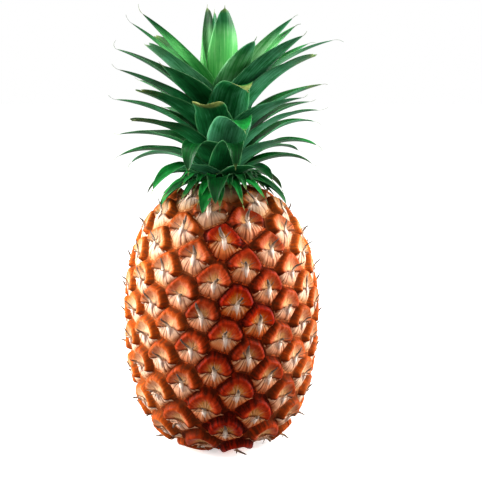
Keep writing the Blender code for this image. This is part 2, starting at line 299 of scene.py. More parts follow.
def add_piece(name, spots, faces, layers):
    """A smooth closed mesh from millimetre points, with named layers for its material to read."""
    mesh = bpy.data.meshes.new(name)
    mesh.from_pydata((np.asarray(spots, float) * MM).tolist(), [], faces)
    for label, values in layers.items():
        values = np.asarray(values, float)
        kind, key = ("FLOAT_VECTOR", "vector") if values.ndim == 2 else ("FLOAT", "value")
        mesh.attributes.new(label, kind, "POINT").data.foreach_set(key, values.ravel())
    work = bmesh.new()
    work.from_mesh(mesh)
    bmesh.ops.remove_doubles(work, verts=work.verts[:], dist=0.01 * MM)
    bmesh.ops.recalc_face_normals(work, faces=work.faces[:])
    work.to_mesh(mesh)
    work.free()
    mesh.shade_smooth()
    piece = bpy.data.objects.new(name, mesh)
    bpy.context.scene.collection.objects.link(piece)
    return piece


def linear(code):
    """An sRGB hex colour as linear red, green, blue and full alpha."""
    parts = [int(code[k:k + 2], 16) / 255.0 for k in (1, 3, 5)]
    return tuple(p / 12.92 if p <= 0.04045 else ((p + 0.055) / 1.055) ** 2.4 for p in parts) + (1.0,)


def add_node(tree, kind, inputs=None, stops=None, **settings):
    """Adds a node with its settings, its colour stops and its inputs: values, sockets, or nodes whose
    first output is meant."""
    node = tree.nodes.new(kind)
    for key, value in settings.items():
        setattr(node, key, value)
    if stops:
        elements = node.color_ramp.elements
        for place, _ in stops[1:-1]:
            elements.new(place)
        for element, (place, code) in zip(elements, stops):
            element.position = place
            element.color = linear(code)
    for socket, value in (inputs or {}).items():
        value = value.outputs[0] if isinstance(value, bpy.types.Node) else value
        if isinstance(value, bpy.types.NodeSocket):
            tree.links.new(value, node.inputs[socket])
        else:
            node.inputs[socket].default_value = value
    return node


def start_material(name, roughness, ior):
    """A new material with its shader's own roughness and IOR."""
    material = bpy.data.materials.new(name)
    material.use_nodes = True
    shader = material.node_tree.nodes["Principled BSDF"]
    shader.inputs["Roughness"].default_value = roughness
    shader.inputs["IOR"].default_value = ior
    return material, material.node_tree, shader


rind = add_piece("fruit_rind", rind_points, rind_faces, rind_layers)

# Ripe pineapple rind, grown and waxy. Round the front the rolled rims are red and the crevices dark
# red-brown, elsewhere they are orange and golden, and the caps are tan and fibrous inside their rims.
# The paler golden sides are partly painted light and the darkest crevices partly painted shade.
rind_skin, tree, shader = start_material("waxy_pineapple_rind", 0.5, 1.45)
shader.inputs["Specular IOR Level"].default_value = 0.04
place, rim, cap, tone, blush = (
    add_node(tree, "ShaderNodeAttribute", attribute_name=layer)
    for layer in ("eye_place", "eye_rim", "eye_cap", "eye_tone", "eye_blush"))
axes = add_node(tree, "ShaderNodeSeparateXYZ", {0: place.outputs["Vector"]})
spot = add_node(tree, "ShaderNodeTexCoord")
# Blotches about 3 mm across and freckles under 1 mm.
blotch = add_node(tree, "ShaderNodeTexNoise", {
    "Vector": spot.outputs["Object"], "Scale": 330.0, "Detail": 4.0})
freckle = add_node(tree, "ShaderNodeTexNoise", {
    "Vector": spot.outputs["Object"], "Scale": 1100.0, "Detail": 3.0})
# Fibres fan out from the bract's tip every ten degrees or so.
under = add_node(tree, "ShaderNodeMath", {0: axes.outputs[1], 1: 4.0}, operation="ADD")
fan = add_node(tree, "ShaderNodeMath", {0: axes.outputs[0], 1: under}, operation="ARCTAN2")
turned = add_node(tree, "ShaderNodeMath", {0: tone.outputs["Fac"], 1: 40.0, 2: fan}, operation="MULTIPLY_ADD")
fibre = add_node(tree, "ShaderNodeTexNoise", {
    "W": turned, "Scale": 6.0, "Detail": 3.0}, noise_dimensions="1D")
both = add_node(tree, "ShaderNodeMath", {0: fibre, 1: blotch}, operation="ADD")
drift = add_node(tree, "ShaderNodeMath", {0: both, 1: 0.42, 2: -0.42}, operation="MULTIPLY_ADD")
depth = add_node(tree, "ShaderNodeMath", {0: rim.outputs["Fac"], 1: drift}, operation="ADD")
# Painted shade in part: towards the crevice the red ramps darken to near-black red and the golden ones to
# brown, partly the rind's own red-brown and partly the shade that falls in the crevice.
red_cap = add_node(tree, "ShaderNodeValToRGB", {"Fac": depth}, stops=[
    (0.0, "#E0A868"), (0.28, "#D88A40"), (0.42, "#CA540C"), (0.54, "#BE3404"),
    (0.72, "#9C1A02"), (0.90, "#680E02"), (1.0, "#3C0802")])
golden_cap = add_node(tree, "ShaderNodeValToRGB", {"Fac": depth}, stops=[
    (0.0, "#EED8BC"), (0.46, "#ECCEA2"), (0.62, "#E6B074"), (0.73, "#DE8438"),
    (0.84, "#D2661C"), (0.94, "#C05618"), (1.0, "#A05426")])
# Partly painted light: the golden ramp makes the sides and back paler where strong side light falls.
ripe = add_node(tree, "ShaderNodeMath", {0: blush.outputs["Fac"], 1: 0.65}, operation="POWER")
cap_colour = add_node(tree, "ShaderNodeMix", {0: ripe, 6: golden_cap, 7: red_cap}, data_type="RGBA")
red_skin = add_node(tree, "ShaderNodeValToRGB", {"Fac": depth}, stops=[
    (0.0, "#C06C30"), (0.6, "#D85E14"), (0.88, "#CC4804"), (0.96, "#A42A02"), (1.0, "#4E0C02")])
golden_skin = add_node(tree, "ShaderNodeValToRGB", {"Fac": depth}, stops=[
    (0.0, "#E6C4A0"), (0.6, "#EABA8A"), (0.88, "#E4A470"), (0.96, "#D68E54"), (1.0, "#B06A3C")])
skin_colour = add_node(tree, "ShaderNodeMix", {
    0: blush.outputs["Fac"], 6: golden_skin, 7: red_skin}, data_type="RGBA")
body = add_node(tree, "ShaderNodeMix", {
    0: cap.outputs["Fac"], 6: skin_colour.outputs[2], 7: cap_colour.outputs[2]}, data_type="RGBA")
# Inside the rim some of the fibres are bleached and some are brown.
inside = add_node(tree, "ShaderNodeMapRange", {
    "Value": rim.outputs["Fac"], "From Min": 0.60, "From Max": 0.25})
bleached = add_node(tree, "ShaderNodeMapRange", {
    "Value": fibre, "From Min": 0.55, "From Max": 0.63, "To Max": 0.5})
bleached = add_node(tree, "ShaderNodeMath", {0: bleached, 1: inside}, operation="MULTIPLY")
body = add_node(tree, "ShaderNodeMix", {
    0: bleached, 6: body.outputs[2], 7: linear("#ECC49A")}, data_type="RGBA")
brown = add_node(tree, "ShaderNodeMapRange", {
    "Value": fibre, "From Min": 0.44, "From Max": 0.36, "To Max": 0.6})
brown = add_node(tree, "ShaderNodeMath", {0: brown, 1: inside}, operation="MULTIPLY")
body = add_node(tree, "ShaderNodeMix", {0: brown, 6: body.outputs[2], 7: linear("#6A2C0E")}, data_type="RGBA")
# Painted shadow: a dark line where the cap folds over the bract, standing in for the shade under the fold.
fold_shadow = add_node(tree, "ShaderNodeMapRange", {
    "Value": axes.outputs[2], "From Min": 2.0, "From Max": 0.7, "To Max": 0.9})
fold_shadow_mask = add_node(tree, "ShaderNodeMath", {0: fold_shadow, 1: cap.outputs["Fac"]}, operation="MULTIPLY")
fold_shadowed = add_node(tree, "ShaderNodeMix", {
    0: fold_shadow_mask, 6: body.outputs[2], 7: linear("#3A0E04")}, data_type="RGBA")
freckled = add_node(tree, "ShaderNodeMapRange", {
    "Value": freckle, "From Min": 0.56, "From Max": 0.70, "To Max": 0.5})
flecked = add_node(tree, "ShaderNodeMix", {
    0: freckled, 6: fold_shadowed.outputs[2], 7: linear("#7A2A10")}, data_type="RGBA")
shade = add_node(tree, "ShaderNodeMapRange", {"Value": tone.outputs["Fac"], "To Min": 0.86, "To Max": 1.14})
# Painted shade: the eyes under the crown are drawn darker, standing in for the crown's shadow, from some 30
# mm below the crown upwards.
CROWN_SHADE_FROM, CROWN_SHADE_FULL_AT = 132.0, 158.0
SHOULDER_SHADE = 0.5
height = add_node(tree, "ShaderNodeSeparateXYZ", {0: spot.outputs["Object"]})
shoulder = add_node(tree, "ShaderNodeMapRange", {
    "Value": height.outputs[2], "From Min": CROWN_SHADE_FROM * MM, "From Max": CROWN_SHADE_FULL_AT * MM,
    "To Min": 1.0, "To Max": SHOULDER_SHADE})
dimmed = add_node(tree, "ShaderNodeMath", {0: shade, 1: shoulder}, operation="MULTIPLY")
varied = add_node(tree, "ShaderNodeHueSaturation", {"Color": flecked.outputs[2], "Value": dimmed})
tree.links.new(varied.outputs[0], shader.inputs["Base Color"])
wax = add_node(tree, "ShaderNodeMapRange", {
    "Value": rim.outputs["Fac"], "From Min": 0.86, "From Max": 0.98, "To Min": 0.42, "To Max": 0.85})
tree.links.new(wax.outputs[0], shader.inputs["Roughness"])
coarse = add_node(tree, "ShaderNodeBump", {"Height": blotch, "Strength": 0.4, "Distance": 0.6 * MM})
fine = add_node(tree, "ShaderNodeBump", {
    "Height": freckle, "Strength": 0.3, "Distance": 0.2 * MM, "Normal": coarse})
tree.links.new(fine.outputs[0], shader.inputs["Normal"])
rind.data.materials.append(rind_skin)
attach(rind, "root")
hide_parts("fruit")

# ---- Bracts ---------------------------------------------------------------------------------------
# A dry, papery bract lies over the lower half of each eye. It grows from the crevice below, fans up
# in pleats, and its free upper edge covers the foot of the cap.
BRACT_COLUMNS = 25
BRACT_ROWS = 9
BRACT_THICKNESS = 0.35
BRACT_STAND = 0.55      # how far the free edge stands off the eye
BRACT_BREADTH = 0.88    # the free edge's width, as a share of the eye's
BRACT_ROOT = math.radians(69.0)     # the root runs this far round the crevice each way from the lowest place
BRACT_DEPTH = 0.985     # how far down towards the bottom of the crevice it grows from
PLEATS = 11.0

bract_points, bract_faces = [], []
bract_layers = {"bract_place": [], "bract_root": [], "bract_tone": [], "bract_blush": []}


def place_on_eye(eye, x, y, lift):
    """Points in space from places right of and above an eye's middle, with their lift."""
    station = eye_station[eye] + y
    around = np.maximum(np.interp(station, barrel_s, barrel_r), 6.0)
    return on_rind(station, eye_azimuth[eye] + x / around, lift)


def rim_share(eye, x, y):
    """How far out a place is, as a share of the way from the eye's middle to its crevice."""
    _, _, rim_x, rim_y, _ = outlines[eye]
    bearing = np.arctan2(rim_y, rim_x)
    order = np.argsort(bearing)
    return np.hypot(x, y) / np.interp(np.arctan2(y, x), bearing[order], np.hypot(rim_x, rim_y)[order],
                                      period=2.0 * math.pi)


def sheet_faces(grid):
    """Faces of a closed sheet from its upper and under grids of point numbers."""
    faces = []
    for skin in grid:
        faces.extend(zip(skin[:-1, :-1].ravel().tolist(), skin[:-1, 1:].ravel().tolist(),
                         skin[1:, 1:].ravel().tolist(), skin[1:, :-1].ravel().tolist()))
    outline = [*grid[:, 0, :-1].T, *grid[:, :-1, -1].T, *grid[:, -1, :0:-1].T, *grid[:, :0:-1, 0].T]
    for here, there in zip(outline, outline[1:] + outline[:1]):
        faces.append((int(here[0]), int(there[0]), int(there[1]), int(here[1])))
    return faces


def add_bract(eye):
    """One bract from its free edge, which follows the fold, down to its root in the crevice."""
    _, _, rim_x, rim_y, tilt = outlines[eye]
    left, right = np.min(rim_x) * BRACT_BREADTH, np.max(rim_x) * BRACT_BREADTH
    across = np.linspace(-1.0, 1.0, BRACT_COLUMNS)
    top_x = np.where(across < 0.0, -left * across, right * across)
    ragged = 0.35 * np.sin(across * 9.0 + 6.0 * eye_tone[eye]) + 0.25 * np.sin(across * 23.0 + eye)
    top_y = FOLD_HEIGHT + 0.5 + tilt * top_x - FOLD_ARCH * top_x**2 + ragged * (1.0 - across**2)
    bearing = math.radians(270.0) + across * BRACT_ROOT + math.atan(tilt)
    order = np.argsort(np.arctan2(rim_y, rim_x))
    reach = BRACT_DEPTH * np.interp(bearing, np.arctan2(rim_y, rim_x)[order], np.hypot(rim_x, rim_y)[order],
                                   period=2.0 * math.pi)
    low_x, low_y = reach * np.cos(bearing), reach * np.sin(bearing)
    down = np.linspace(0.0, 1.0, BRACT_ROWS)[:, None] ** 0.8
    x = top_x + (low_x - top_x) * down
    y = top_y + (low_y - top_y) * down
    lift, near, _, _ = eye_relief(eye, x, y, np.clip(rim_share(eye, x, y), 0.0, 1.0))
    skin = -SKIN_DEPTH * (1.0 - near**10) + crevice_lift(eye_station[eye] + y) * near**10
    fan = np.arctan2(x, 2.5 - y)
    pleat = 0.22 * np.sin(fan * PLEATS + 5.0 * eye_tone[eye]) * ease(1.5 * down) * (1.0 - down)
    keel = 0.5 * np.exp(-((x / 2.2) ** 2)) * (1.0 - down)
    stand = BRACT_STAND * (1.0 - down**2) * (1.0 - 0.7 * across**4) + keel
    front = np.maximum(skin, lift - 0.6) + stand + pleat - 0.4 * down**12 - 0.35 * across**12
    first = len(bract_points)
    for back in (0.0, BRACT_THICKNESS):
        bract_points.extend(place_on_eye(eye, x, y, front - back).reshape(-1, 3))
        bract_layers["bract_place"].extend(np.stack([x, y, np.zeros_like(x)], axis=-1).reshape(-1, 3))
        bract_layers["bract_root"].extend(np.maximum(down, 0.95 * across**4).ravel())
        bract_layers["bract_tone"].extend(np.full(x.size, eye_tone[eye]))
        bract_layers["bract_blush"].extend(np.full(x.size, eye_blush[eye]))
    bract_faces.extend(sheet_faces(
        first + np.arange(2 * BRACT_ROWS * BRACT_COLUMNS).reshape(2, BRACT_ROWS, BRACT_COLUMNS)))


covered = [eye for eye in EYES if has_cap[eye] and REST_RADIUS + 10.0 < eye_station[eye] < seat_station - 3.0]
for eye in covered:
    add_bract(eye)
bracts = add_piece("eye_bracts", bract_points, bract_faces, bract_layers)

# Dry bract tissue, grown and papery: tan to pinkish cream with brown pleats fanning up from its root,
# orange where it comes out of the crevice, and nearly no shine.
bract_paper, tree, shader = start_material("dry_papery_bract", 0.62, 1.42)
shader.inputs["Specular IOR Level"].default_value = 0.1
place, root, tone, blush = (
    add_node(tree, "ShaderNodeAttribute", attribute_name=layer)
    for layer in ("bract_place", "bract_root", "bract_tone", "bract_blush"))
axes = add_node(tree, "ShaderNodeSeparateXYZ", {0: place.outputs["Vector"]})
below = add_node(tree, "ShaderNodeMath", {0: 3.0, 1: axes.outputs[1]}, operation="SUBTRACT")
fan = add_node(tree, "ShaderNodeMath", {0: axes.outputs[0], 1: below}, operation="ARCTAN2")
# Pleats fan out some ten degrees apart, with each eye's own wander.
line = add_node(tree, "ShaderNodeMath", {0: tone.outputs["Fac"], 1: 40.0, 2: fan}, operation="MULTIPLY_ADD")
pleats = add_node(tree, "ShaderNodeTexNoise", {"W": line, "Scale": 6.5, "Detail": 3.0},
                  noise_dimensions="1D")
pleat_mark = add_node(tree, "ShaderNodeMapRange", {
    "Value": pleats, "From Min": 0.50, "From Max": 0.66, "To Max": 0.85})
spot = add_node(tree, "ShaderNodeTexCoord")
mottle = add_node(tree, "ShaderNodeTexNoise", {
    "Vector": spot.outputs["Object"], "Scale": 420.0, "Detail": 4.0})
drift = add_node(tree, "ShaderNodeMath", {0: mottle, 1: 0.5, 2: -0.25}, operation="MULTIPLY_ADD")
depth = add_node(tree, "ShaderNodeMath", {0: root.outputs["Fac"], 1: drift}, operation="ADD")
warm_paper = add_node(tree, "ShaderNodeValToRGB", {"Fac": depth}, stops=[
    (0.0, "#DC986A"), (0.35, "#D87C3E"), (0.62, "#D05C20"), (0.84, "#BA420A"), (1.0, "#882604")])
pale_paper = add_node(tree, "ShaderNodeValToRGB", {"Fac": depth}, stops=[
    (0.0, "#E8D4C2"), (0.35, "#E8CEB4"), (0.62, "#E6C09A"), (0.84, "#DEA670"), (1.0, "#C88448")])
# Partly painted light: the bracts are warmer on the front and drawn paler towards the sides and back, where
# strong side light falls.
warmth = add_node(tree, "ShaderNodeMath", {0: blush.outputs["Fac"], 1: 1.6}, operation="POWER")
paper = add_node(tree, "ShaderNodeMix", {0: warmth, 6: pale_paper, 7: warm_paper}, data_type="RGBA")
lined = add_node(tree, "ShaderNodeMix", {
    0: pleat_mark, 6: paper.outputs[2], 7: linear("#6E2C10")}, data_type="RGBA")
# Raised fibres between the pleats have lost their colour and fade out towards the root.
raised = add_node(tree, "ShaderNodeMapRange", {
    "Value": pleats, "From Min": 0.44, "From Max": 0.36, "To Max": 0.6})
fading = add_node(tree, "ShaderNodeMapRange", {
    "Value": root.outputs["Fac"], "From Min": 0.95, "From Max": 0.35})
bleached = add_node(tree, "ShaderNodeMath", {0: raised, 1: fading}, operation="MULTIPLY")
fibred = add_node(tree, "ShaderNodeMix", {
    0: bleached, 6: lined.outputs[2], 7: linear("#E8B890")}, data_type="RGBA")
# Pale scurf round the root of the tip, about 4 mm across.
drop = add_node(tree, "ShaderNodeMath", {0: axes.outputs[1], 1: 2.8}, operation="ADD")
off = add_node(tree, "ShaderNodeCombineXYZ", {0: axes.outputs[0], 1: drop})
away = add_node(tree, "ShaderNodeVectorMath", {0: off}, operation="LENGTH")
frayed = add_node(tree, "ShaderNodeMath", {
    0: mottle, 1: -7.0, 2: away.outputs["Value"]}, operation="MULTIPLY_ADD")
scurf = add_node(tree, "ShaderNodeMapRange", {
    "Value": frayed, "From Min": -0.4, "From Max": -2.6, "To Max": 0.7})
pale = add_node(tree, "ShaderNodeMix", {
    0: scurf, 6: fibred.outputs[2], 7: linear("#E2BCA6")}, data_type="RGBA")
# Painted shade: the bracts under the crown are darkened the same way, standing in for the crown's shadow.
height = add_node(tree, "ShaderNodeSeparateXYZ", {0: spot.outputs["Object"]})
shoulder = add_node(tree, "ShaderNodeMapRange", {
    "Value": height.outputs[2], "From Min": CROWN_SHADE_FROM * MM, "From Max": CROWN_SHADE_FULL_AT * MM,
    "To Min": 1.0, "To Max": SHOULDER_SHADE})
crown_shaded_paper = add_node(tree, "ShaderNodeHueSaturation", {"Color": pale.outputs[2], "Value": shoulder})
tree.links.new(crown_shaded_paper.outputs[0], shader.inputs["Base Color"])
folds = add_node(tree, "ShaderNodeBump", {
    "Height": pleats, "Strength": 0.7, "Distance": 0.8 * MM}, invert=True)
crinkle = add_node(tree, "ShaderNodeBump", {
    "Height": mottle, "Strength": 0.4, "Distance": 0.4 * MM, "Normal": folds})
tree.links.new(crinkle.outputs[0], shader.inputs["Normal"])
bracts.data.materials.append(bract_paper)
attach(bracts, "root")
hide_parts("fruit")

# ---- Bract tips -----------------------------------------------------------------------------------
# Each bract has a stiff midrib that stands out of the paper as a pale keel and runs on above the free
# edge as a dry, pointed tip, with a finer thread on each side. They lie over the caps or curl out.
TIP_ROWS = 15
TIP_SIDES = 6
KEEL_ROOT, THREAD_ROOT = -8.0, -4.5     # height on the eye where a keel and a side thread start
KEEL_GIRTH, THREAD_GIRTH = 1.3, 0.5     # half their width
TIP_FLATNESS = 0.42
TIP_TAPER = ((0.0, 0.3, 0.42, 0.6, 0.8, 1.0), (0.3, 0.8, 1.15, 1.0, 0.8, 0.3))
tip_points, tip_faces = [], []
tip_layers = {"tip_share": [], "tip_tone": []}


def add_tip(eye, root, length, lean, curl, girth):
    """One dry strand up an eye from its root to its length, leaning sideways and curling outwards."""
    along = np.linspace(0.0, 1.0, TIP_ROWS)
    y = root + (length - root - 3.0 * curl) * along
    y = y - 2.6 * curl * ease((along - 0.7) / 0.3)
    free = ease((along - 0.42) / 0.58)
    x = lean * free**1.3 + 0.9 * np.sin(7.0 * along + eye) * along**2
    low_y = np.minimum(y, FOLD_HEIGHT - 0.2)
    low_lift, _, _, _ = eye_relief(eye, x, low_y, np.clip(rim_share(eye, x, low_y), 0.0, 1.0))
    lift = low_lift + 0.35 + 1.1 * ease(along / 0.4) + (2.2 + 4.8 * curl) * free**1.2
    half = girth * np.interp(along, *TIP_TAPER)
    middle = place_on_eye(eye, x, y, lift)
    ahead = np.gradient(middle, axis=0)
    ahead = ahead / np.linalg.norm(ahead, axis=1)[:, None]
    side = np.array([-math.sin(eye_azimuth[eye]), math.cos(eye_azimuth[eye]), 0.0])
    face_out = np.cross(side, ahead)
    face_out = face_out / np.linalg.norm(face_out, axis=1)[:, None]
    first = len(tip_points)
    for row in range(TIP_ROWS):
        for turn in np.arange(TIP_SIDES) * 2.0 * math.pi / TIP_SIDES:
            tip_points.append(middle[row] + half[row] * (math.cos(turn) * side
                              + TIP_FLATNESS * math.sin(turn) * face_out[row]))
            tip_layers["tip_share"].append(along[row])
            tip_layers["tip_tone"].append(eye_tone[eye])
    for row in range(TIP_ROWS - 1):
        for j in range(TIP_SIDES):
            k = (j + 1) % TIP_SIDES
            low, high = first + row * TIP_SIDES, first + (row + 1) * TIP_SIDES
            tip_faces.append((low + j, low + k, high + k, high + j))
    tip_faces.append(tuple(first + j for j in reversed(range(TIP_SIDES))))
    tip_faces.append(tuple(first + (TIP_ROWS - 1) * TIP_SIDES + j for j in range(TIP_SIDES)))


for eye in covered:
    curl = chance.uniform(0.0, 1.0) ** 1.2
    add_tip(eye, KEEL_ROOT, chance.uniform(4.5, 8.5), chance.normal(0.0, 2.2), curl, KEEL_GIRTH)
    for way in (-1.0, 1.0):
        length, lean = chance.uniform(0.0, 4.0), way * chance.uniform(2.0, 5.0)
        add_tip(eye, THREAD_ROOT, length, lean, 0.4 * curl, THREAD_GIRTH)
tips = add_piece("bract_tips", tip_points, tip_faces, tip_layers)

# Dried bract midrib, woody and matt: pinkish white where it is thick, tan and then grey-brown
# towards its withered end, with fine lengthwise fibres.
dry_rib, tree, shader = start_material("dried_bract_midrib", 0.55, 1.42)
share = add_node(tree, "ShaderNodeAttribute", attribute_name="tip_share")
spot = add_node(tree, "ShaderNodeTexCoord")
mottle = add_node(tree, "ShaderNodeTexNoise", {
    "Vector": spot.outputs["Object"], "Scale": 700.0, "Detail": 3.0})
drift = add_node(tree, "ShaderNodeMath", {0: mottle, 1: 0.3, 2: -0.15}, operation="MULTIPLY_ADD")
depth = add_node(tree, "ShaderNodeMath", {0: share.outputs["Fac"], 1: drift}, operation="ADD")
rib = add_node(tree, "ShaderNodeValToRGB", {"Fac": depth}, stops=[
    (0.0, "#C8845A"), (0.22, "#DCB49C"), (0.40, "#EAD4C4"),
    (0.58, "#C8AA90"), (0.74, "#6A503A"), (1.0, "#2C2018")])
tree.links.new(rib.outputs[0], shader.inputs["Base Color"])
fibres = add_node(tree, "ShaderNodeBump", {"Height": mottle, "Strength": 0.4, "Distance": 0.3 * MM})
tree.links.new(fibres.outputs[0], shader.inputs["Normal"])
tips.data.materials.append(dry_rib)
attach(tips, "root")
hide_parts("fruit")

# ---- Crown stem -----------------------------------------------------------------------------------
# The short fibrous stem that carries the crown, almost hidden by the leaf bases wrapped round it.
# Pale green living tissue, matt, with rings of old leaf scars about 3 mm apart.
stem_tissue, tree, shader = start_material("fibrous_crown_stem", 0.6, 1.4)
spot = add_node(tree, "ShaderNodeTexCoord")
fibre = add_node(tree, "ShaderNodeTexNoise", {
    "Vector": spot.outputs["Object"], "Scale": 500.0, "Detail": 4.0})
# Blender's wave makes twenty bands a unit at a scale of one.
SCAR_SPACING = 3.0
scars = add_node(tree, "ShaderNodeTexWave", {
    "Vector": spot.outputs["Object"], "Scale": 1000.0 / SCAR_SPACING / 20.0, "Distortion": 2.0},
    bands_direction="Z")
tissue = add_node(tree, "ShaderNodeValToRGB", {"Fac": fibre}, stops=[
    (0.3, "#5F7A3A"), (0.7, "#A9B36B")])
tree.links.new(tissue.outputs[0], shader.inputs["Base Color"])
scar_relief = add_node(tree, "ShaderNodeBump", {
    "Height": scars.outputs[1], "Strength": 0.5, "Distance": 0.5 * MM})
tree.links.new(scar_relief.outputs[0], shader.inputs["Normal"])
stem_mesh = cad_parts["crown_stem"].data
stem_mesh.materials.clear()
stem_mesh.materials.append(stem_tissue)

# ---- Crown leaves ---------------------------------------------------------------------------------
# Fifty-eight stiff leaves in a spiral, long and channelled, wrapped round the stem at the root and
# tapering to a point. Each is drawn through its frame solid's own middle surface.
CROWN_LEAVES = 58
LEAF_ROWS = 44
LEAF_COLUMNS = 17
LEAF_THICKNESS = 1.0
LEAF_EDGE = 0.3
SOLID_ROWS = 11         # rings of eight points in a leaf's solid
ACROSS_SOLID = np.array((-1.0, -0.55, 0.0, 0.55, 1.0))  # where its five points lie across the half-width
SOLID_TAPER = 0.85      # the power by which a leaf narrows towards its tip
WHISKER_ROWS = 8
WHISKER_HALF = 0.3


def middle_surface(solid):
    """The leaf solid's middle surface: a row of five points for each of its rings from the root on,
    left edge to right edge, and the tip."""
    corners = np.array([vert.co for vert in solid.data.vertices]) / MM
    spots, index = np.unique(np.round(corners, 2), axis=0, return_inverse=True)
    index = index.ravel()
    triangles = [tuple(index[list(face.vertices)]) for face in solid.data.polygons]
    near = [set() for _ in spots]
    for triangle in triangles:
        for a in triangle:
            near[a].update(b for b in triangle if b != a)
    for start in sorted(range(len(spots)), key=lambda a: abs(len(near[a]) - 8)):
        level = {start: 0}
        shells = [[start]]
        while len(level) < len(spots):
            fresh = sorted({b for a in shells[-1] for b in near[a] if b not in level})
            level.update({b: len(shells) for b in fresh})
            shells.append(fresh)
        if [len(shell) for shell in shells] == [1] + [8] * SOLID_ROWS:
            break
    tip = spots[start]
    side = np.array([-tip[1], tip[0], 0.0])
    rows = []
    for depth in range(SOLID_ROWS, 0, -1):
        beside = {a: set() for a in shells[depth]}
        for triangle in triangles:
            ring = [a for a in triangle if level[a] == depth]
            if len(ring) == 2 and any(level[a] == depth - 1 for a in triangle):
                beside[ring[0]].add(ring[1])
                beside[ring[1]].add(ring[0])
        walk = [shells[depth][0]]
        while len(walk) < 8:
            walk.append(min((b for b in beside[walk[-1]] if b not in walk)))
        ring = spots[walk]
        turn = max(range(4), key=lambda k: np.linalg.norm(ring[k] - ring[k + 4]))
        ring = np.roll(ring, -turn, axis=0)
        inner = [(ring[k] + ring[8 - k]) / 2 for k in (1, 2, 3)]
        row = np.array([ring[0], *inner, ring[4]])
        rows.append(row if np.dot(row[4] - row[0], side) > 0.0 else row[::-1])
    return np.array(rows), tip


def smooth_curve(knots, values, places):
    """Values read off a smooth curve through the given ones."""
    slope = np.gradient(values, knots, axis=0)
    cell = np.clip(np.searchsorted(knots, places, side="right") - 1, 0, len(knots) - 2)
    width = knots[cell + 1] - knots[cell]
    t = ((places - knots[cell]) / width).reshape((-1,) + (1,) * (values.ndim - 1))
    width = width.reshape(t.shape)
    return ((2 * t**3 - 3 * t**2 + 1) * values[cell] + (t**3 - 2 * t**2 + t) * width * slope[cell]
            + (3 * t**2 - 2 * t**3) * values[cell + 1] + (t**3 - t**2) * width * slope[cell + 1])


def turned(vectors, side, cos, sin):
    """Vectors turned about an axis."""
    return vectors * cos + np.cross(side, vectors) * sin + side * (vectors @ side)[..., None] * (1.0 - cos)


def bowed(line, offsets, side, droop):
    """The leaf with its outer half turned down about its own width, by this many degrees at the tip."""
    start = 0.35 + 0.0035 * droop
    turns = np.radians(droop) * ease((np.linspace(0.0, 1.0, len(line)) - start) / 0.35)
    cos, sin = np.cos(turns)[:, None], np.sin(turns)[:, None]
    steps = turned(np.diff(line, axis=0), side, cos[:-1], sin[:-1])
    line = np.concatenate([line[:1], line[0] + np.cumsum(steps, axis=0)])
    return line, turned(offsets, side, cos[:, None], sin[:, None])


# How each leaf grew: degrees its outer half bows down, how broad it stays, millimetres of dry whisker
# beyond the tip, degrees the whisker curls up, the share of its length where it broke off, and how dry.
USUAL_GROWTH = (0, 1.1, 4, 20, 1, 0)
LEAF_GROWTH = {
    1: (0, 1.1, 0, 0, 1, 0), 4: (0, 1, 4.1, -50, 1, 0), 5: (15, 1.1, 0, 0, 1, 0), 6: (0, 1, 5.4, -40, 1, 0),
    7: (10, 1, 3.4, 60, 1, 0), 9: (30, 1, 0, 0, 1, 0), 10: (10, 1.1, 3.4, -60, 1, 0),
    12: (0, 1.05, 4.8, -60, 1, 0),
    13: (64, 1.1, 2, 0, 1, 0), 15: (0, 1.1, 4.1, -40, 1, 0), 16: (0, 1.1, 4.8, -50, 1, 0),
    18: (62, 1.1, 2, 0, 1, 0), 19: (0, 1.1, 5.4, -40, 1, 0), 20: (0, 1.1, 4.8, 40, 1, 0),
    21: (20, 1.25, 3, 0, 1, 0), 23: (0, 1.3, 0, 0, 0.93, 0.15), 24: (0, 1.05, 5.4, 30, 1, 0),
    26: (12, 1.25, 0, 0, 0.84, 1), 28: (0, 1.1, 4.8, 40, 1, 0), 29: (0, 1.1, 4.1, 30, 1, 0),
    31: (0, 1.25, 0, 0, 0.94, 0.15), 32: (0, 1.2, 3, -40, 1, 0.5), 34: (22, 1.2, 4, 20, 1, 0.8),
    36: (0, 1.15, 4.8, 40, 1, 0), 37: (0, 1.4, 0, 0, 0.93, 0.3), 40: (0, 1.1, 4.8, -40, 1, 0),
    41: (0, 1.15, 6.1, 120, 1, 0), 42: (0, 1.25, 3.4, 30, 1, 0), 44: (0, 1.35, 0, 0, 0.92, 0.1),
    45: (0, 1.1, 6.1, -50, 1, 0), 46: (0, 1.35, 0, 0, 0.92, 0.1), 48: (0, 1.15, 4.1, -40, 1, 0),
    49: (0, 1.15, 5.4, 40, 1, 0), 50: (0, 1.1, 3.4, -30, 1, 0), 52: (0, 1.1, 5.4, 50, 1, 0),
    53: (0, 1.1, 3.4, -30, 1, 0), 54: (0, 1.75, 2, 0, 1, 0), 55: (0, 1.7, 2, 0, 1, 0),
    56: (0, 1.6, 2, 0, 1, 0), 57: (0, 1.6, 2, 0, 1, 0), 58: (0, 1.5, 2, 0, 1, 0),
}


